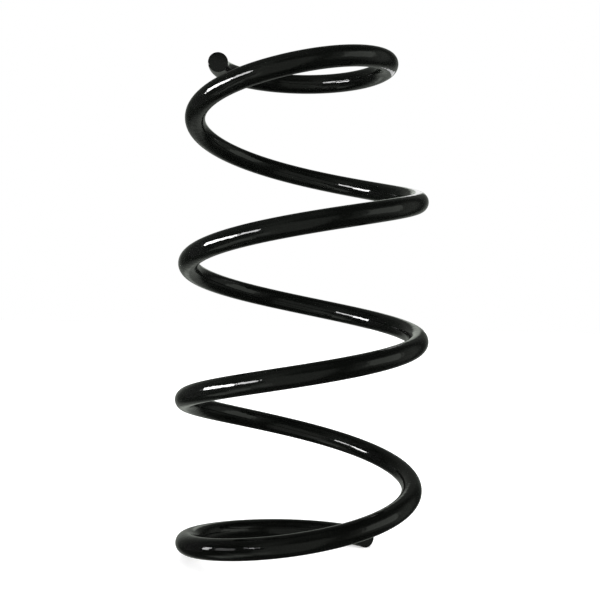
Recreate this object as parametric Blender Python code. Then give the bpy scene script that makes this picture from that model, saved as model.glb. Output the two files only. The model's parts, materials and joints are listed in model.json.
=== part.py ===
"""Suspension coil spring: one round steel bar wound into a right-hand helix.

The coil's axis is +Z through the origin and the lower end coil rests on Z = 0. The middle turns
have one outside diameter. The lower tip bends in a little, and the upper end draws in to a smaller
coil that lies flat against its seat.

The real spring is one piece. Here it is cut across into stretches, with a hairline between them,
so that rigid stretches can step down one after another and show how the spring shortens. Every
cut is a vertical plane, so stretches slide past each other as they move along the axis.
"""

import math

import bmesh
import bpy
from mathutils import Vector

MM = 0.001

# --- The bar and the coil -------------------------------------------------------------------
BAR_DIAMETER = 13.0 * MM
COIL_OUTSIDE_DIAMETER = 161.5 * MM
TURNS = 4.4
LOWER_TIP_BEARING = math.radians(37.5)  # seen from above, anticlockwise from +X

# --- Pitch: the rise in one whole turn, blended smoothly from station to station -------------
LOWER_PITCH = 109.0 * MM
MIDDLE_PITCH = 85.0 * MM
UPPER_PITCH = 97.0 * MM
LOWER_FLAT_TURNS = 0.05  # level bar at the lower tip
LOWER_PITCH_TURN = 0.97  # turns up from the lower tip
MIDDLE_PITCH_TURN = 1.62
UPPER_PITCH_TURN = 0.78  # turns down from the upper tip
UPPER_FLAT_TURNS = 0.42  # level bar at the upper tip

# --- How far each end draws in from the middle turns -----------------------------------------
LOWER_TIP_INSET = 11.25 * MM
LOWER_INSET_TURNS = 1.25
UPPER_TIP_INSET = 24.75 * MM
UPPER_INSET_TURNS = 2.05

# --- How far the centre of each end coil sits to one side of the axis, along X ----------------
LOWER_COIL_OFFSET = -2.5 * MM
LOWER_OFFSET_STARTS = 1.3  # turns up from the lower tip
UPPER_COIL_OFFSET = -9.0 * MM
UPPER_OFFSET_STARTS = 1.4  # turns down from the upper tip
OFFSET_TURNS = 0.8  # the centre moves over this many turns

# --- Where the bar is cut into stretches ------------------------------------------------------
LOWER_END_TURNS = 0.5
UPPER_END_TURNS = 0.65
ACTIVE_STRETCHES = 26
STRETCHES_PER_TURN = 8
CUT_GAP = 0.3 * MM

# --- Facets -----------------------------------------------------------------------------------
BAR_SIDES = 16  # a multiple of four keeps a flat side exactly below, above, inside and outside
RINGS_PER_TURN = 48

COAT_COLOUR = (0.010, 0.011, 0.010, 1.0)
COAT_ROUGHNESS = 0.22

BAR_RADIUS = BAR_DIAMETER / 2
COIL_RADIUS = (COIL_OUTSIDE_DIAMETER - BAR_DIAMETER) / 2
ACTIVE_TURNS = TURNS - LOWER_END_TURNS - UPPER_END_TURNS

PITCH_STATIONS = (
    (LOWER_FLAT_TURNS, 0.0),
    (LOWER_PITCH_TURN, LOWER_PITCH),
    (MIDDLE_PITCH_TURN, MIDDLE_PITCH),
    (TURNS - UPPER_PITCH_TURN, UPPER_PITCH),
    (TURNS - UPPER_FLAT_TURNS, 0.0),
)


def clamp(value):
    return min(max(value, 0.0), 1.0)


def smoothstep(value):
    t = clamp(value)
    return t * t * (3 - 2 * t)


def height(turn):
    """Height of the bar's centre: the pitch added up from the lower tip."""
    rise = BAR_RADIUS
    for (start, pitch_start), (end, pitch_end) in zip(PITCH_STATIONS, PITCH_STATIONS[1:]):
        t = clamp((turn - start) / (end - start))
        blended = t**3 - t**4 / 2  # the area under a smoothstep from 0 to t
        rise += (end - start) * (pitch_start * t + (pitch_end - pitch_start) * blended)
    return rise


def radius(turn):
    """Distance of the bar's centre from the centre of its own turn."""
    lower = clamp(1 - turn / LOWER_INSET_TURNS) ** 2
    upper = clamp(1 - (TURNS - turn) / UPPER_INSET_TURNS) ** 2
    return COIL_RADIUS - LOWER_TIP_INSET * lower - UPPER_TIP_INSET * upper


def centre_offset(turn):
    lower = smoothstep((LOWER_OFFSET_STARTS - turn) / OFFSET_TURNS)
    upper = smoothstep((turn - TURNS + UPPER_OFFSET_STARTS) / OFFSET_TURNS)
    return LOWER_COIL_OFFSET * lower + UPPER_COIL_OFFSET * upper


def bar_centre(turn):
    bearing = LOWER_TIP_BEARING + 2 * math.pi * turn
    reach = radius(turn)
    x = centre_offset(turn) + reach * math.cos(bearing)
    return Vector((x, reach * math.sin(bearing), height(turn)))


def bar_direction(turn, step=1e-4):
    before = max(turn - step, 0.0)
    after = min(turn + step, TURNS)
    return (bar_centre(after) - bar_centre(before)).normalized()


def ring(turn):
    """The outline of the bar where a vertical plane cuts squarely across its path."""
    along = bar_direction(turn)
    level = math.hypot(along.x, along.y)
    outward = Vector((along.y / level, -along.x / level, 0.0))
    upright = Vector((0.0, 0.0, 1 / level))  # a sloping bar is taller in a vertical section
    corner = BAR_RADIUS / math.cos(math.pi / BAR_SIDES)
    points = []
    for side in range(BAR_SIDES):
        angle = 2 * math.pi * (side + 0.5) / BAR_SIDES
        points.append(outward * corner * math.cos(angle) + upright * corner * math.sin(angle))
    return [bar_centre(turn) + point for point in points]


def half_gap(turn):
    return CUT_GAP / 2 / (2 * math.pi * radius(turn))


def ring_turns(first, last):
    """Turns at which a stretch has a ring: its two cuts and the whole ring steps between."""
    steps = max(1, round((last - first) * RINGS_PER_TURN))
    turns = [first + (last - first) * step / steps for step in range(steps + 1)]
    if first > 0:
        turns[0] += half_gap(first)
    if last < TURNS:
        turns[-1] -= half_gap(last)
    return turns


def make_coat():
    coat = bpy.data.materials.new("gloss_black_coat")
    coat.use_nodes = True
    shader = coat.node_tree.nodes["Principled BSDF"]
    shader.inputs["Base Color"].default_value = COAT_COLOUR
    shader.inputs["Roughness"].default_value = COAT_ROUGHNESS
    shader.inputs["Metallic"].default_value = 0.0
    coat.diffuse_color = COAT_COLOUR
    return coat


def make_stretch(name, first, last, coat, parent=None):
    """One closed stretch of bar, with its origin at the centre of its lower end."""
    origin = bar_centre(first)
    shape = bmesh.new()
    rings = [
        [shape.verts.new(point - origin) for point in ring(turn)] for turn in ring_turns(first, last)
    ]
    for lower, upper in zip(rings, rings[1:]):
        for side in range(BAR_SIDES):
            following = (side + 1) % BAR_SIDES
            quad = (lower[side], upper[side], upper[following], lower[following])
            shape.faces.new(quad).smooth = True
    shape.faces.new(rings[0])
    shape.faces.new(reversed(rings[-1]))
    bmesh.ops.recalc_face_normals(shape, faces=shape.faces)
    for face in shape.faces:
        if not face.smooth:
            for edge in face.edges:
                edge.smooth = False

    mesh = bpy.data.meshes.new(name)
    shape.to_mesh(mesh)
    shape.free()
    mesh.materials.append(coat)
    stretch = bpy.data.objects.new(name, mesh)
    bpy.context.scene.collection.objects.link(stretch)
    stretch.parent = parent
    stretch.location = origin - parent.location if parent else origin
    return stretch


def stretch_name(index):
    """active_turn_1a to active_turn_1h are the eighths of the first active turn, and so on."""
    turn, eighth = divmod(index, STRETCHES_PER_TURN)
    return f"active_turn_{turn + 1}{'abcdefgh'[eighth]}"


def make_spring():
    """Every stretch hangs from the lower end coil, which stays still as the others step down."""
    coat = make_coat()
    lower_end = make_stretch("lower_end_coil", 0.0, LOWER_END_TURNS, coat)
    for index in range(ACTIVE_STRETCHES):
        first = LOWER_END_TURNS + ACTIVE_TURNS * index / ACTIVE_STRETCHES
        last = LOWER_END_TURNS + ACTIVE_TURNS * (index + 1) / ACTIVE_STRETCHES
        make_stretch(stretch_name(index), first, last, coat, lower_end)
    make_stretch("upper_end_coil", TURNS - UPPER_END_TURNS, TURNS, coat, lower_end)


for old in list(bpy.data.objects):
    bpy.data.objects.remove(old)
make_spring()
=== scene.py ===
# %% [markdown]
# # A coil spring, wound from one bar
#
# A suspension spring is a single round steel bar, wound hot round a mandrel and coated in black
# powder. There is nothing to bolt together, so all its character is in three things: the path of
# the bar, the two cut ends, and the way a glossy skin bends the light of the studio.
#
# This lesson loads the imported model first. It gives the spring's sizes and the rigid bodies that
# each stretch of bar has to follow.

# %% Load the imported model
import json
import math

import bmesh
import bpy
import numpy as np
from mathutils import Matrix, Vector

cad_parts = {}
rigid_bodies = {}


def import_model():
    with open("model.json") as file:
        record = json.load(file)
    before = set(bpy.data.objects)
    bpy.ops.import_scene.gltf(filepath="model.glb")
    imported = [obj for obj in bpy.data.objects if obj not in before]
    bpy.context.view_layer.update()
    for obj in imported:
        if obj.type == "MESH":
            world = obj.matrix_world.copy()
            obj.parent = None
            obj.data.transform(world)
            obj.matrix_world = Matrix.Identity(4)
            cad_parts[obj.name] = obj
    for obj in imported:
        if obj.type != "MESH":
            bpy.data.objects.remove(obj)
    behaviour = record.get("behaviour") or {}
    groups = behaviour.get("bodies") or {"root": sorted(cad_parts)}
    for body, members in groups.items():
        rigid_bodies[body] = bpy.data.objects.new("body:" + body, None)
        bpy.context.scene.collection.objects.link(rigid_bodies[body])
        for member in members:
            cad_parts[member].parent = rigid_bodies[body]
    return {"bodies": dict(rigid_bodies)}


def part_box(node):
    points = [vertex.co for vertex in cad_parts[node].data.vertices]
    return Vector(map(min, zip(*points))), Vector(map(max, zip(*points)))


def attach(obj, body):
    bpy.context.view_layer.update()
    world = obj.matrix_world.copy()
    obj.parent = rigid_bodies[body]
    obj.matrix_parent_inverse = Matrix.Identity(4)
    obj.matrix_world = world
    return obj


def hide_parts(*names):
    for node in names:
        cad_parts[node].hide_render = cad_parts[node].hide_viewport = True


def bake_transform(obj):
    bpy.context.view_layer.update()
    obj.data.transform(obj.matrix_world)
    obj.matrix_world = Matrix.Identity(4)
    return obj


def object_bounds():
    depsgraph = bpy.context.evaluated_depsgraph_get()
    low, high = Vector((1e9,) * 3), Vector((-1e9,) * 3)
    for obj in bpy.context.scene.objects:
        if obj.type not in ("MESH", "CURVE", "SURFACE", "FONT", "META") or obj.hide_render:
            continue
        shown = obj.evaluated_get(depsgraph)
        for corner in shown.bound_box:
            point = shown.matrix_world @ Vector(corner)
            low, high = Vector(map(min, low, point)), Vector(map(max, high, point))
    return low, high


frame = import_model()
cad_low, cad_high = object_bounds()
print("CAD box, mm:", [round(1000 * size, 1) for size in cad_high - cad_low])

# %% [markdown]
# ## The sizes of the bar
#
# A spring maker's drawing gives a bar diameter, an outside diameter and a number of turns. It then
# says how steeply the bar climbs: the pitch, which is the rise in one whole turn. Here the pitch
# grows from nothing at the lower tip, eases off in the middle turns, and falls to nothing again,
# so that the upper coil lies flat. Both ends also draw in, the upper one to a much smaller coil.
#
# All of these go into one table. Its names become the inputs of the node tree below, so each size
# can be changed in Blender afterwards, with no script.

# %% The spring's drawing, in metres and turns
SPRING = {
    "Turns": 4.4,
    "Bar Diameter": 0.013,
    "Coil Outside Diameter": 0.1615,
    "Lower Tip Bearing": math.radians(37.5),
    "Lower Pitch": 0.109,
    "Middle Pitch": 0.085,
    "Upper Pitch": 0.097,
    "Lower Tip Inset": 0.01125,
    "Upper Tip Inset": 0.02475,
    "Lower Coil Offset": -0.0025,
    "Upper Coil Offset": -0.009,
}
LOWER_FLAT_TURNS = 0.05
LOWER_PITCH_TURN = 0.97
MIDDLE_PITCH_TURN = 1.62
UPPER_PITCH_TURN = 0.78  # counted down from the upper tip
UPPER_FLAT_TURNS = 0.42
LOWER_INSET_TURNS = 1.25
UPPER_INSET_TURNS = 2.05
LOWER_OFFSET_STARTS = 1.3
UPPER_OFFSET_STARTS = 1.4  # counted down from the upper tip
OFFSET_TURNS = 0.8

LOWER_END_TURNS = 0.5
UPPER_END_TURNS = 0.65
BAR_RADIUS = SPRING["Bar Diameter"] / 2
print("drawing:", len(SPRING), "sizes,", SPRING["Turns"], "turns")

# %% [markdown]
# ## Writing node maths as ordinary maths
#
# A node tree can hold a formula, but a formula of thirty Math nodes is hard to read when every
# link is made by hand. The small class below wraps a socket, so that `a * b + c` adds the nodes
# and the links. Python works nothing out: it only wires the tree, and Blender does the sums.

# %% A socket that can be added and multiplied
class Wire:
    def __init__(self, tree, socket):
        self.tree, self.socket = tree, socket

    def math(self, operation, *others):
        node = self.tree.nodes.new("ShaderNodeMath")
        node.operation = operation
        connect(self.tree, node.inputs, (self, *others))
        return Wire(self.tree, node.outputs[0])

    def __add__(self, other):
        return self.math("ADD", other)

    def __sub__(self, other):
        return self.math("SUBTRACT", other)

    def __mul__(self, other):
        return self.math("MULTIPLY", other)

    def __truediv__(self, other):
        return self.math("DIVIDE", other)

    def ramp(self, start, end, smooth=False):
        """0 before start, 1 after end, and straight or smooth between them."""
        node = self.tree.nodes.new("ShaderNodeMapRange")
        node.interpolation_type = "SMOOTHSTEP" if smooth else "LINEAR"
        connect(self.tree, node.inputs, (self, start, end, 0.0, 1.0))
        return Wire(self.tree, node.outputs["Result"])


def connect(tree, sockets, values):
    """Links each wire to its socket, and writes each plain number into it."""
    for socket, value in zip(sockets, values):
        if isinstance(value, Wire):
            tree.links.new(value.socket, socket)
        else:
            socket.default_value = value


print("a Wire can add, subtract, multiply, divide, ramp, or take any other Math node")


# %% A vector made of wires, and the vector sums that the bar needs
def vector(tree, x, y, z):
    node = tree.nodes.new("ShaderNodeCombineXYZ")
    connect(tree, node.inputs, (x, y, z))
    return Wire(tree, node.outputs[0])


def parts_of(wire):
    node = wire.tree.nodes.new("ShaderNodeSeparateXYZ")
    connect(wire.tree, node.inputs, (wire,))
    return [Wire(wire.tree, socket) for socket in node.outputs]


def vector_math(operation, first, second=None, scale=None):
    node = first.tree.nodes.new("ShaderNodeVectorMath")
    node.operation = operation
    connect(first.tree, node.inputs, (first,) if second is None else (first, second))
    if scale is not None:
        connect(first.tree, (node.inputs["Scale"],), (scale,))
    return Wire(first.tree, node.outputs["Value" if operation == "DOT_PRODUCT" else "Vector"])


print("vector helpers:", vector.__name__, parts_of.__name__, vector_math.__name__)

# %% [markdown]
# ## Where the middle of the bar is
#
# One group answers one question: after so many turns, where is the middle of the bar? The height
# is the pitch added up. Between two stations the pitch follows a smoothstep, and the area under
# a smoothstep from 0 to t is t³ - t⁴/2, so the height needs no stepping or simulation. The
# distance from the axis is the coil's radius less what each end draws in.
#
# A Curve with a Spiral node would be quicker to set up. It can't change its pitch on the way,
# though, and its tilt drifts, which would show as a kink wherever two stretches of bar meet.

# %% Open a group whose inputs are the drawing's sizes
def new_tree(name, extra_inputs, outputs):
    tree = bpy.data.node_groups.new(name, "GeometryNodeTree")
    for label, (kind, value) in extra_inputs.items():
        socket = tree.interface.new_socket(name=label, in_out="INPUT", socket_type=kind)
        if value is not None:
            socket.default_value = value
    for label, value in SPRING.items():
        socket = tree.interface.new_socket(
            name=label, in_out="INPUT", socket_type="NodeSocketFloat"
        )
        socket.default_value = value
    for label, kind in outputs.items():
        tree.interface.new_socket(name=label, in_out="OUTPUT", socket_type=kind)
    opening = tree.nodes.new("NodeGroupInput")
    wires = {s.name: Wire(tree, s) for s in opening.outputs if s.name}
    return tree, wires, tree.nodes.new("NodeGroupOutput")


print("sizes that each tree takes:", ", ".join(SPRING))


# %% The height of the bar's middle
def bar_height(size, turn):
    stations = (
        (LOWER_FLAT_TURNS, 0.0),
        (LOWER_PITCH_TURN, size["Lower Pitch"]),
        (MIDDLE_PITCH_TURN, size["Middle Pitch"]),
        (size["Turns"] - UPPER_PITCH_TURN, size["Upper Pitch"]),
        (size["Turns"] - UPPER_FLAT_TURNS, 0.0),
    )
    zero = turn * 0.0
    height = size["Bar Diameter"] * 0.5
    for (start, pitch_start), (end, pitch_end) in zip(stations, stations[1:]):
        t = turn.ramp(start, end)
        area = t.math("POWER", 3.0) - t.math("POWER", 4.0) * 0.5
        span = zero + end - start
        change = zero + pitch_end - pitch_start
        height = height + span * (t * pitch_start + change * area)
    return height


# %% The group that places the bar's middle
def make_bar_middle():
    tree, size, closing = new_tree(
        "bar_middle", {"Turn": ("NodeSocketFloat", 0.0)}, {"Middle": "NodeSocketVector"}
    )
    turn = size["Turn"]
    left = size["Turns"] - turn
    coil_radius = (size["Coil Outside Diameter"] - size["Bar Diameter"]) * 0.5
    lower = turn.ramp(LOWER_INSET_TURNS, 0.0).math("POWER", 2.0)
    upper = left.ramp(UPPER_INSET_TURNS, 0.0).math("POWER", 2.0)
    reach = coil_radius - size["Lower Tip Inset"] * lower - size["Upper Tip Inset"] * upper
    at_lower = turn.ramp(LOWER_OFFSET_STARTS, LOWER_OFFSET_STARTS - OFFSET_TURNS, smooth=True)
    at_upper = left.ramp(UPPER_OFFSET_STARTS, UPPER_OFFSET_STARTS - OFFSET_TURNS, smooth=True)
    offset = size["Lower Coil Offset"] * at_lower + size["Upper Coil Offset"] * at_upper
    bearing = turn * (2 * math.pi) + size["Lower Tip Bearing"]
    x = offset + reach * bearing.math("COSINE")
    y = reach * bearing.math("SINE")
    connect(tree, closing.inputs, (vector(tree, x, y, bar_height(size, turn)),))
    return tree


bar_middle = make_bar_middle()
print("bar_middle:", len(bar_middle.nodes), "nodes")

# %% [markdown]
# ## Winding a stretch of bar
#
# The second tree starts from Blender's own cylinder, which is already closed and has a round flat
# lid at each end. Each of its points is then moved: its height along the cylinder becomes a turn
# of the spring, and its place on the circle becomes a place round the bar. The cylinder's lids end
# up as upright cuts, exactly on the joint planes of the model, so neighbours meet ring to ring.
#
# The tree also stores the true direction that the skin faces at each point. Blender's own
# smoothing only sees the faces of one stretch, and would put a faint crease in the reflections at
# every meeting. The stored direction is used for the mesh's normals once it is a plain mesh. The
# turn that each point lies at is stored too, and the share of travel below is worked out from it.
# Last, the tree makes its result real and gives it its finish, so that nothing is lost when the
# mesh is copied out.

# %% Keep a value on every point, so that the finished mesh still knows it
def keep(tree, geometry, label, kind, value):
    node = tree.nodes.new("GeometryNodeStoreNamedAttribute")
    node.data_type = kind
    node.inputs["Name"].default_value = label
    tree.links.new(geometry, node.inputs["Geometry"])
    tree.links.new(value.socket, node.inputs["Value"])
    return node.outputs["Geometry"]


print("helper that stores values:", keep.__name__)

# %% The tree that winds the bar
SMALL_STEP = 0.001  # of a turn, forward and back, to find which way the bar runs


def make_wound_bar():
    integer, number = "NodeSocketInt", "NodeSocketFloat"
    extra = {
        "First Turn": (number, 0.0),
        "Last Turn": (number, 1.0),
        "Rings": (integer, 40),
        "Sides": (integer, 64),
        "Finish": ("NodeSocketMaterial", None),
    }
    tree, size, closing = new_tree("wound_bar", extra, {"Geometry": "NodeSocketGeometry"})

    def middle_at(turn):
        node = tree.nodes.new("GeometryNodeGroup")
        node.node_tree = bar_middle
        values = [turn] + [size[label] for label in SPRING]
        connect(tree, node.inputs, values)
        return Wire(tree, node.outputs["Middle"])

    blank = tree.nodes.new("GeometryNodeMeshCylinder")
    blank.fill_type = "NGON"
    rings_in_lid, blank_radius, blank_length = 1, 1.0, 1.0
    counts = (size["Sides"], size["Rings"], rings_in_lid)
    connect(tree, blank.inputs, (*counts, blank_radius, blank_length))

    place = Wire(tree, tree.nodes.new("GeometryNodeInputPosition").outputs[0])
    across, around, along = parts_of(place)
    turn = size["First Turn"] + (size["Last Turn"] - size["First Turn"]) * (along + 0.5)
    middle = middle_at(turn)
    after = middle_at((turn + SMALL_STEP).math("MINIMUM", size["Turns"]))
    before = middle_at((turn - SMALL_STEP).math("MAXIMUM", 0.0))
    ahead = vector_math("NORMALIZE", vector_math("SUBTRACT", after, before))
    ahead_x, ahead_y, _ = parts_of(ahead)
    level = (ahead_x * ahead_x + ahead_y * ahead_y).math("SQRT")
    radius = size["Bar Diameter"] * 0.5
    outward = across * radius / level
    rise = around * radius / level * -1.0
    spoke = vector(tree, ahead_y * outward, ahead_x * outward * -1.0, rise)
    lean = vector_math("SCALE", ahead, scale=vector_math("DOT_PRODUCT", spoke, ahead))
    facing = vector_math("NORMALIZE", vector_math("SUBTRACT", spoke, lean))

    noted = keep(tree, blank.outputs["Mesh"], "facing", "FLOAT_VECTOR", facing)
    noted = keep(tree, noted, "turn", "FLOAT", turn)
    wind = tree.nodes.new("GeometryNodeSetPosition")
    tree.links.new(noted, wind.inputs["Geometry"])
    tree.links.new(vector_math("ADD", middle, spoke).socket, wind.inputs["Position"])
    realize = tree.nodes.new("GeometryNodeRealizeInstances")
    tree.links.new(wind.outputs["Geometry"], realize.inputs["Geometry"])
    finish = tree.nodes.new("GeometryNodeSetMaterial")
    tree.links.new(realize.outputs["Geometry"], finish.inputs["Geometry"])
    connect(tree, (finish.inputs["Material"],), (size["Finish"],))
    tree.links.new(finish.outputs["Geometry"], closing.inputs["Geometry"])
    return tree


wound_bar = make_wound_bar()
print("wound_bar:", len(wound_bar.nodes), "nodes")

# %% [markdown]
# ## The skin: powder coat
#
# Powder coat is sprayed on dry and melted in an oven. It runs together into a thick glossy film,
# but never quite flat: it keeps a fine ripple called orange peel, a couple of millimetres across.
# On a black part that ripple is most of what the eye sees, because it breaks up the edge of every
# reflection. The film covers the cut ends too, where the sheared steel under it is rough.
#
# The ripple serves both finishes, so it is a group of its own. It reads Object coordinates, which
# every stretch shares because each one sits at the origin, so it runs on across the meetings.

# %% Open a shader group, and make noise in it
def shader_group(name, inputs, outputs):
    group = bpy.data.node_groups.new(name, "ShaderNodeTree")
    for label, value in inputs.items():
        socket = group.interface.new_socket(
            name=label, in_out="INPUT", socket_type="NodeSocketFloat"
        )
        socket.default_value = value
    for label in outputs:
        group.interface.new_socket(name=label, in_out="OUTPUT", socket_type="NodeSocketFloat")
    opening = group.nodes.new("NodeGroupInput")
    wires = {s.name: Wire(group, s) for s in opening.outputs if s.name}
    return group, wires, group.nodes.new("NodeGroupOutput")


def noise(tree, scale, detail, roughness=0.5):
    """Noise in the spring's own coordinates, from 0 to 1."""
    place = tree.nodes.new("ShaderNodeTexCoord")
    texture = tree.nodes.new("ShaderNodeTexNoise")
    tree.links.new(place.outputs["Object"], texture.inputs["Vector"])
    connect(
        tree,
        (texture.inputs["Scale"], texture.inputs["Detail"], texture.inputs["Roughness"]),
        (scale, detail, roughness),
    )
    return Wire(tree, texture.outputs["Fac"])


print("helpers for finishes:", shader_group.__name__, noise.__name__)


# %% A group for the ripple, and one for settled dust
def make_orange_peel():
    inputs = {"Ripple Scale": 260.0, "Grain Scale": 1500.0, "Grain Share": 0.03}
    group, size, closing = shader_group("orange_peel", inputs, ("Height",))
    ripple = noise(group, size["Ripple Scale"], 1.0)
    grain = noise(group, size["Grain Scale"], 3.0, 0.6)
    connect(group, closing.inputs, (ripple + grain * size["Grain Share"],))
    return group


PATCH_SHARE, SPECK_SHARE = 0.35, 0.65


def make_dust_film():
    inputs = {"Patch Scale": 22.0, "Speck Scale": 900.0}
    group, size, closing = shader_group("dust_film", inputs, ("Mask",))
    patches = noise(group, size["Patch Scale"], 4.0, 0.6).ramp(0.46, 0.72, smooth=True)
    specks = noise(group, size["Speck Scale"], 2.0, 0.7).ramp(0.60, 0.78, smooth=True)
    connect(group, closing.inputs, (patches * PATCH_SHARE + specks * SPECK_SHARE,))
    return group


orange_peel = make_orange_peel()
dust_film = make_dust_film()
print("groups:", orange_peel.name, "and", dust_film.name)

# %% Helpers that every finish uses
POWDER_IOR = 1.5  # how strongly cured powder bends light, as most clear resins do


def new_finish(name):
    finish = bpy.data.materials.new(name)
    finish.use_nodes = True
    tree = finish.node_tree
    return finish, tree, tree.nodes["Principled BSDF"]


def place_group(tree, group, **values):
    node = tree.nodes.new("ShaderNodeGroup")
    node.node_tree = group
    for label, value in values.items():
        node.inputs[label.replace("_", " ")].default_value = value
    return Wire(tree, node.outputs[0])


def blend_colours(tree, mask, low, high):
    node = tree.nodes.new("ShaderNodeMix")
    node.data_type = "RGBA"
    connect(tree, (node.inputs["Factor"],), (mask,))
    first, second = (socket for socket in node.inputs if socket.type == "RGBA")
    first.default_value, second.default_value = (*low, 1.0), (*high, 1.0)
    return next(socket for socket in node.outputs if socket.type == "RGBA")


def add_relief(tree, shader, height, strength, depth):
    bump = tree.nodes.new("ShaderNodeBump")
    bump.inputs["Strength"].default_value = strength
    bump.inputs["Distance"].default_value = depth
    tree.links.new(height.socket, bump.inputs["Height"])
    tree.links.new(bump.outputs["Normal"], shader.inputs["Normal"])


print("index of refraction of the powder:", POWDER_IOR)

# %% [markdown]
# The black of the coat is very deep. Under its gloss it gives back well under one part in a
# hundred of the light that falls on it. It would look flat if it were the same all over, so a
# slow change of tone and a little settled dust lift the colour and the roughness by a trace.

# %% Gloss black on the wound bar
DEEP_BLACK = (0.0007, 0.0009, 0.0007)
DUSTY_BLACK = (0.0030, 0.0034, 0.0029)
GLOSS_ROUGHNESS = 0.05
RIPPLE_STRENGTH, RIPPLE_DEPTH = 0.3, 0.0004


def make_gloss_coat():
    finish, tree, shader = new_finish("gloss_black_powder_coat")
    shader.inputs["IOR"].default_value = POWDER_IOR
    peel = place_group(tree, orange_peel)
    dust = place_group(tree, dust_film)
    tone = noise(tree, 45.0, 3.0)
    colour = blend_colours(tree, tone * 0.6 + dust * 0.5, DEEP_BLACK, DUSTY_BLACK)
    tree.links.new(colour, shader.inputs["Base Color"])
    roughness = tone * 0.04 + dust * 0.06 + GLOSS_ROUGHNESS
    tree.links.new(roughness.socket, shader.inputs["Roughness"])
    add_relief(tree, shader, peel, RIPPLE_STRENGTH, RIPPLE_DEPTH)
    return finish


gloss_coat = make_gloss_coat()
print("finish of the bar:", gloss_coat.name)

# %% [markdown]
# ## The cut ends
#
# The bar is sheared off square after winding. Shearing leaves a coarse, faintly dished face, and
# the powder dulls it instead of glossing it over, so it looks greyer and rougher than the skin.

# %% Dull coat on the sheared faces
PIT_BLACK = (0.010, 0.013, 0.010)
RIDGE_GREY = (0.075, 0.085, 0.070)
DULL_ROUGHNESS = 0.45
PIT_STRENGTH, PIT_DEPTH = 0.8, 0.0007


def make_sheared_coat():
    finish, tree, shader = new_finish("dull_coat_on_sheared_steel")
    shader.inputs["IOR"].default_value = POWDER_IOR
    peel = place_group(tree, orange_peel, Ripple_Scale=900.0, Grain_Scale=3200.0, Grain_Share=0.8)
    pits = noise(tree, 1400.0, 4.0, 0.7)
    colour = blend_colours(tree, pits, PIT_BLACK, RIDGE_GREY)
    tree.links.new(colour, shader.inputs["Base Color"])
    roughness = pits * 0.25 + DULL_ROUGHNESS
    tree.links.new(roughness.socket, shader.inputs["Roughness"])
    add_relief(tree, shader, peel + pits * 0.6, PIT_STRENGTH, PIT_DEPTH)
    return finish


sheared_coat = make_sheared_coat()
print("finish of the cut ends:", sheared_coat.name)

# %% [markdown]
# ## From the tree to plain stretches
#
# The tree is run once for each rigid body of the model: the two end coils, and the short stretches
# between them. Each result is copied out as a plain mesh, because what follows works on meshes.
# The modifier's inputs are set by their identifiers before Blender works the object out.

# %% Run the tree for one stretch
RINGS_PER_TURN = 320
BAR_SIDES = 64
FEWEST_RINGS = 2


def set_inputs(modifier, **values):
    for item in modifier.node_group.interface.items_tree:
        label = item.name.replace(" ", "_")
        if item.item_type == "SOCKET" and item.in_out == "INPUT" and label in values:
            modifier[item.identifier] = values[label]


def wind_stretch(name, first, last):
    blank = bpy.data.objects.new(name + "_blank", bpy.data.meshes.new(name + "_blank"))
    bpy.context.scene.collection.objects.link(blank)
    modifier = blank.modifiers.new("wound_bar", "NODES")
    modifier.node_group = wound_bar
    rings = max(FEWEST_RINGS, round((last - first) * RINGS_PER_TURN))
    set_inputs(modifier, First_Turn=first, Last_Turn=last, Rings=rings)
    set_inputs(modifier, Sides=BAR_SIDES, Finish=gloss_coat)
    graph = bpy.context.evaluated_depsgraph_get()
    mesh = bpy.data.meshes.new_from_object(blank.evaluated_get(graph))
    bpy.data.objects.remove(blank)
    mesh.name = name
    stretch = bpy.data.objects.new(name, mesh)
    bpy.context.scene.collection.objects.link(stretch)
    return stretch


print("rings in a turn:", RINGS_PER_TURN, "and points in a ring:", BAR_SIDES)

# %% [markdown]
# A sheared bar has no knife edge: the press rolls it over a little, and the powder builds up on
# it. Each cut end gets a small bevel there, with the dull coat of the face, so that it doesn't
# mirror a lamp as a bright ring. The lids between two stretches keep their hard edge, because
# they touch their neighbour and are never seen.

# %% Round the rim of a cut end, and give its face the dull coat
RIM_ROUNDING = 0.0005
RIM_STEPS = 4
SHEARED_SLOT = 1  # the skin's finish is in slot 0


def is_lid(corners):
    """The skin is made of four-sided faces, so a face with more corners is a lid."""
    return len(corners) > 4


def finish_cut_end(stretch, tip):
    stretch.data.materials.append(sheared_coat)
    shape = bmesh.new()
    shape.from_mesh(stretch.data)
    lid = min(
        (face for face in shape.faces if is_lid(face.verts)),
        key=lambda face: (face.calc_center_median() - tip).length,
    )
    lid.material_index = SHEARED_SLOT
    bmesh.ops.bevel(
        shape,
        geom=list(lid.edges),
        offset=RIM_ROUNDING,
        segments=RIM_STEPS,
        profile=0.5,
        affect="EDGES",
        material=SHEARED_SLOT,
    )
    shape.to_mesh(stretch.data)
    shape.free()


print("rounding of the rims, mm:", 1000 * RIM_ROUNDING)


# %% Give a stretch its true normals
CREASE_DEGREES = 50
RIM_REACH = BAR_RADIUS * 1.3  # the whole of a cut end and its rounded rim lie this near the tip


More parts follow.
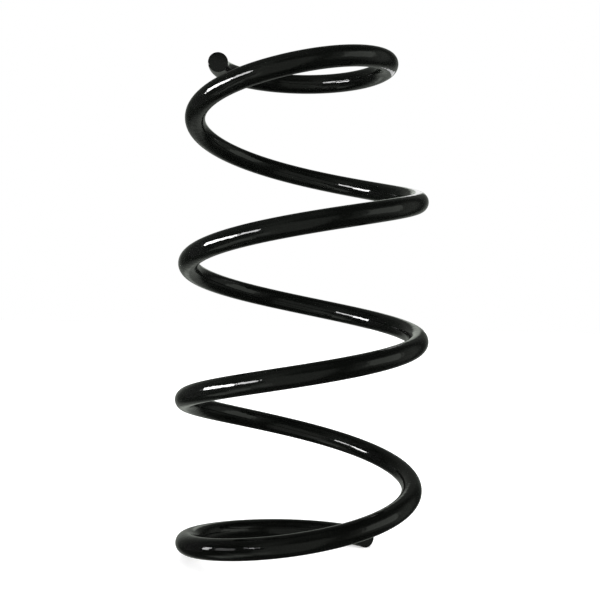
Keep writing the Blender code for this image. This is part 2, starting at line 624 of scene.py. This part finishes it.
def set_true_normals(stretch, tip=None):
    """Uses the stored directions on the skin, and leaves lids and a rounded rim to Blender."""
    mesh = stretch.data
    facing = np.empty(len(mesh.vertices) * 3, np.float32)
    mesh.attributes["facing"].data.foreach_get("vector", facing)
    facing = facing.reshape(-1, 3)
    places = np.empty(len(mesh.vertices) * 3, np.float32)
    mesh.vertices.foreach_get("co", places)
    if tip is not None:
        from_tip = np.linalg.norm(places.reshape(-1, 3) - np.array(tip), axis=1)
        facing[from_tip < RIM_REACH] = 0.0
    corners = np.empty(len(mesh.loops), np.int32)
    mesh.loops.foreach_get("vertex_index", corners)
    normals = facing[corners]
    for face in mesh.polygons:
        flat = is_lid(face.vertices)
        face.use_smooth = not flat
        if flat:
            normals[face.loop_start : face.loop_start + face.loop_total] = 0.0
    mesh.set_sharp_from_angle(angle=math.radians(CREASE_DEGREES))
    mesh.normals_split_custom_set(normals.tolist())
    mesh.attributes.remove(mesh.attributes["facing"])


print("creases sharper than", CREASE_DEGREES, "degrees stay hard")


# %% Where the two tips are
def bar_end(node, turn):
    """Centre of the bar at one of its tips, from the drawing."""
    bearing = SPRING["Lower Tip Bearing"] + 2 * math.pi * turn
    coil_radius = (SPRING["Coil Outside Diameter"] - SPRING["Bar Diameter"]) / 2
    at_top = turn > 0
    reach = coil_radius - SPRING["Upper Tip Inset" if at_top else "Lower Tip Inset"]
    offset = SPRING["Upper Coil Offset" if at_top else "Lower Coil Offset"]
    low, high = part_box(node)
    height = high.z - BAR_RADIUS if at_top else low.z + BAR_RADIUS
    return Vector((offset + reach * math.cos(bearing), reach * math.sin(bearing), height))


lower_tip = bar_end("lower_end_coil", 0.0)
upper_tip = bar_end("upper_end_coil", SPRING["Turns"])
print("tips, mm:", [round(1000 * v, 1) for v in (*lower_tip, *upper_tip)])

# %% [markdown]
# ## Winding the whole spring
#
# The end coils ride on the two end bodies. A stretch is wound for each active body between them,
# but it isn't attached to its body, and nothing bends it. The share of each point, between the
# lower end, which stays still, and its own body, which steps down as the spring is squeezed, is
# worked out from the turn it lies at by the same rule as the bodies themselves, and not kept.

# %% The end coils
def end_coil(name, first, last, tip, body):
    coil = wind_stretch(name + "_bar", first, last)
    finish_cut_end(coil, tip)
    set_true_normals(coil, tip)
    coil.data.attributes.remove(coil.data.attributes["turn"])
    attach(coil, body)
    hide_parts(name)
    return coil


LAST_TURN = SPRING["Turns"]
UPPER_END_STARTS = LAST_TURN - UPPER_END_TURNS
lower_end = end_coil("lower_end_coil", 0.0, LOWER_END_TURNS, lower_tip, "lower_end")
upper_end = end_coil("upper_end_coil", UPPER_END_STARTS, LAST_TURN, upper_tip, "upper_end")
print("end coils:", len(lower_end.data.polygons), "and", len(upper_end.data.polygons), "faces")

# %% How far a point of the bar moves
ACTIVE_TURNS = UPPER_END_STARTS - LOWER_END_TURNS
EASING_TURNS = 0.25  # the bar begins to bend over this much of a turn, at both ends


def share_of_travel(turn):
    """0 at the lower end coil, 1 at the upper one, straight between, and eased at both ends."""
    easing = EASING_TURNS / ACTIVE_TURNS
    slope = 1 / (1 - easing)
    along = (turn - LOWER_END_TURNS) / ACTIVE_TURNS
    start = slope * along**2 / (2 * easing)
    middle = slope * (along - easing / 2)
    end = 1 - slope * (1 - along) ** 2 / (2 * easing)
    return np.where(along < easing, start, np.where(along > 1 - easing, end, middle))


middle_share = float(share_of_travel(LOWER_END_TURNS + ACTIVE_TURNS / 2))
print("share in the middle of the active turns:", round(middle_share, 3))

# %% The active turns
active = sorted(body for body in frame["bodies"] if body.startswith("active_turn_"))


def share_by_turn(stretch, last):
    """Works out each point's share of its body's step from the turn it lies at; the share isn't
    kept.
    """
    turns = np.empty(len(stretch.data.vertices), np.float32)
    stretch.data.attributes["turn"].data.foreach_get("value", turns)
    share = share_of_travel(turns.astype(float)) / share_of_travel(last)
    stretch.data.attributes.remove(stretch.data.attributes["turn"])


for index, body in enumerate(active):
    first = LOWER_END_TURNS + ACTIVE_TURNS * index / len(active)
    last = LOWER_END_TURNS + ACTIVE_TURNS * (index + 1) / len(active)
    stretch = wind_stretch(body + "_bar", first, last)
    set_true_normals(stretch)
    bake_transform(stretch)
    share_by_turn(stretch, last)
    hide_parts(body)
print("active stretches:", len(active), "over", round(ACTIVE_TURNS, 3), "turns")

# %% [markdown]
# ## The studio
#
# Black gloss shows almost nothing of itself. What the eye reads as shape is what the bar mirrors:
# two lamps on the left draw the bright broken line along each front strand, and a wide dim panel
# on the right rolls a soft grey over the other side. The floor and the room are white, but the
# bar must not mirror them, or it would turn grey all over. So the room is painted twice. The eye
# and the floor get plain white. Mirrored rays get a dark room with a few pale cards in it.

# %% A paint with no gloss, which may glow: for the floor, the boards and the small card
def matt_paint(name, grey, glow, see_through=0.0):
    paint, _, shader = new_finish(name)
    shader.inputs["Base Color"].default_value = (grey, grey, grey, 1.0)
    shader.inputs["Roughness"].default_value = 1.0
    shader.inputs["Specular IOR Level"].default_value = 0.0
    shader.inputs["Alpha"].default_value = 1.0 - see_through
    shader.inputs["Emission Color"].default_value = (1.0, 1.0, 1.0, 1.0)
    shader.inputs["Emission Strength"].default_value = glow
    return paint


# %% A pale floor, lit a little from below as a light table is
FLOOR_RADIUS = 30.0
FLOOR_GREY, FLOOR_GLOW = 0.92, 0.4


def make_floor():
    bpy.ops.mesh.primitive_circle_add(vertices=96, radius=FLOOR_RADIUS, fill_type="NGON")
    floor = bpy.context.object
    floor.name = "studio_floor"
    floor.data.materials.append(matt_paint("pale_floor_paint", FLOOR_GREY, FLOOR_GLOW))
    floor.visible_glossy = False
    return floor


floor = make_floor()
print("floor:", floor.name)

# %% [markdown]
# Each card has a direction, a half width and half height, a soft edge, and a brightness. Bearings
# are counted from the camera's side of the spring, to its right, and tilts are counted up from
# level, all in degrees. Photographers call such things cards or flags, and hang them the same way.

# %% The cards that the bar mirrors
CARDS = {  # (bearing, tilt), (half width, half height), soft edge, brightness
    "ceiling": ((-60.0, 70.0), (80.0, 24.0), 22.0, 0.06),
    "ceiling_left": ((-40.0, 37.0), (16.0, 15.0), 14.0, 0.15),
    "camera_side": ((-5.0, -22.0), (34.0, 43.0), 10.0, 0.23),
    "table_left": ((-79.0, -53.0), (32.0, 9.0), 6.0, 0.48),
    "table_front": ((-46.0, -41.0), (24.0, 12.0), 8.0, 0.24),
    "panel_right": ((77.5, 11.0), (20.0, 20.0), 4.0, 0.50),
    "panel_spill": ((84.0, 6.0), (40.0, 30.0), 12.0, 0.17),
    "backdrop": ((180.0, -16.0), (28.0, 26.0), 12.0, 0.20),
    "backdrop_top": ((180.0, 34.0), (34.0, 30.0), 12.0, 0.06),
    "backdrop_right": ((176.0, 19.0), (8.0, 8.0), 4.0, 0.6),
    "backdrop_left": ((-171.0, -21.0), (6.0, 5.0), 4.0, 0.3),
    "wall_left": ((-143.0, 14.0), (30.0, 20.0), 14.0, 0.05),
}
MIRRORED_TINT = (0.94, 1.0, 0.91)


def card_mask(bearing, tilt, centre, half_size, soft_edge):
    """1 inside the card and 0 outside it."""
    off_side = bearing - math.radians(centre[0])
    off_level = tilt - math.radians(centre[1])
    offsets = (off_side.math("WRAP", math.pi, -math.pi), off_level)
    masks = [
        offset.math("ABSOLUTE").ramp(
            math.radians(half + soft_edge), math.radians(half - soft_edge), smooth=True
        )
        for offset, half in zip(offsets, half_size)
    ]
    return masks[0] * masks[1]


print("cards:", ", ".join(CARDS))


# %% The room: white to the eye, dark with cards to a mirrored ray
def make_room(seen, lighting, darkest):
    room = bpy.data.worlds.new("studio_room")
    bpy.context.scene.world = room
    room.use_nodes = True
    tree = room.node_tree
    direction = Wire(tree, tree.nodes.new("ShaderNodeTexCoord").outputs["Generated"])
    x, y, z = parts_of(direction)
    bearing, tilt = x.math("ARCTAN2", y * -1.0), z.math("ARCSINE")
    mirrored = z * 0.0 + darkest
    for *shape, brightness in CARDS.values():
        mirrored = mirrored + card_mask(bearing, tilt, *shape) * brightness
    rays = tree.nodes.new("ShaderNodeLightPath")
    is_seen = Wire(tree, rays.outputs["Is Camera Ray"])
    is_mirrored = Wire(tree, rays.outputs["Is Glossy Ray"])
    strength = is_seen * (seen - lighting) + is_mirrored * (mirrored - lighting) + lighting
    sky = tree.nodes["Background"]
    tint = blend_colours(tree, is_mirrored, (1.0, 1.0, 1.0), MIRRORED_TINT)
    tree.links.new(tint, sky.inputs["Color"])
    tree.links.new(strength.socket, sky.inputs["Strength"])


make_room(seen=1.0, lighting=1.3, darkest=0.035)
print("room:", bpy.context.scene.world.name)

# %% [markdown]
# The two lamps are area lights, and not cards in the room, because they are tens of times as
# bright. Blender aims rays at a lamp but only stumbles on a card, so the glints of a lamp come
# out clean.

# %% The lamps
CENTRE = (cad_low + cad_high) / 2
LAMP_DISTANCE = 2.4


def add_softbox(name, bearing, tilt, spread, brightness):
    """A rectangle of light that faces the middle of the spring. Angles are in degrees."""
    width, height = (2 * LAMP_DISTANCE * math.tan(math.radians(angle / 2)) for angle in spread)
    lamp = bpy.data.lights.new(name, "AREA")
    lamp.shape = "RECTANGLE"
    lamp.size, lamp.size_y = width, height
    lamp.energy = brightness * math.pi * width * height
    holder = bpy.data.objects.new(name, lamp)
    bpy.context.scene.collection.objects.link(holder)
    side, up = math.radians(bearing), math.radians(tilt)
    level = Vector((math.sin(side), -math.cos(side), 0.0)) * math.cos(up)
    holder.location = CENTRE + (level + Vector((0.0, 0.0, math.sin(up)))) * LAMP_DISTANCE
    holder.rotation_mode = "QUATERNION"
    holder.rotation_quaternion = (CENTRE - holder.location).to_track_quat("-Z", "Y")
    return holder


lamps = [
    add_softbox("long_lamp_left", -82.5, 2.4, (42.5, 15.8), 30.0),
    add_softbox("short_lamp_left", -50.0, 6.5, (19.0, 13.0), 15.0),
]
print("lamps:", ", ".join(lamp.name for lamp in lamps))

# %% [markdown]
# Black boards stand close to the spring on its left. The tall one hides the far end of the long
# lamp from the strands at the back, so their glints stay short. The low row keeps the lamps off
# the lowest coil. It has a slot and two nets in it, which leave three small glints there in place
# of one hard line. A small white card behind the spring lights the inside of the top turn, just
# where it comes round to the front. The eye never sees any of them: only mirrored rays do, and
# the lamplight that the boards stop.

# %% The boards and the small card
BOARDS = {  # ends of the board on the floor plan, its lowest and highest edge, see-through, glow
    "tall_board": ((-0.317, -0.014), (-0.317, 0.140), (-0.08, 0.40), 0.0, 0.0),
    "low_board_front": ((-0.250, -0.440), (-0.250, -0.334), (0.001, 0.10), 0.0, 0.0),
    "low_board_middle": ((-0.250, -0.325), (-0.250, -0.190), (0.001, 0.10), 0.0, 0.0),
    "thick_net": ((-0.250, -0.190), (-0.250, -0.090), (0.001, 0.09), 0.04, 0.0),
    "low_board_gap": ((-0.250, -0.090), (-0.250, -0.060), (0.001, 0.08), 0.0, 0.0),
    "thin_net": ((-0.250, -0.060), (-0.250, -0.005), (0.001, 0.08), 0.27, 0.0),
    "low_board_back": ((-0.250, -0.005), (-0.250, 0.100), (0.001, 0.08), 0.0, 0.0),
    "white_card_behind": ((0.080, 0.122), (0.104, 0.141), (0.270, 0.320), 0.0, 1.3),
}
BOARD_GREY = 0.05


def add_board(name, near_end, far_end, edges, see_through, glow):
    low, high = edges
    corners = [(*near_end, low), (*far_end, low), (*far_end, high), (*near_end, high)]
    board = bpy.data.meshes.new(name)
    board.from_pydata(corners, [], [(0, 1, 2, 3)])
    board.materials.append(matt_paint(name + "_cloth", BOARD_GREY, glow, see_through))
    holder = bpy.data.objects.new(name, board)
    bpy.context.scene.collection.objects.link(holder)
    holder.visible_camera = holder.visible_diffuse = False
    holder.visible_shadow = glow == 0.0
    return holder


boards = [add_board(name, *shape) for name, shape in BOARDS.items()]
print("boards, nets and the small card:", len(boards))

# %% [markdown]
# ## The camera
#
# A product photographer stands back and uses a longer lens, so that near and far strands differ
# only a little in thickness. The camera here is level with the middle turns: it sees the top coil
# from below and the bottom coil from above.

# %% Place the camera
CAMERA_PLACE = Vector((-0.0121, -0.6601, 0.1519))
CAMERA_AIM = Vector((-0.0021, 0.0, 0.1665))
CAMERA_ROLL = math.radians(1.28)
LENS_MM = 61.43
SENSOR_MM = 36.0

camera_data = bpy.data.cameras.new("studio_camera")
camera_data.lens = LENS_MM
camera_data.sensor_width = SENSOR_MM
camera_data.clip_start = 0.01
camera = bpy.data.objects.new("studio_camera", camera_data)
bpy.context.scene.collection.objects.link(camera)
aim = (CAMERA_AIM - CAMERA_PLACE).to_track_quat("-Z", "Y").to_matrix().to_4x4()
camera.matrix_world = Matrix.Translation(CAMERA_PLACE) @ aim @ Matrix.Rotation(CAMERA_ROLL, 4, "Z")
bpy.context.scene.camera = camera
bpy.context.scene.view_settings.view_transform = "Standard"
print("camera is", round((CAMERA_AIM - CAMERA_PLACE).length, 3), "m away")
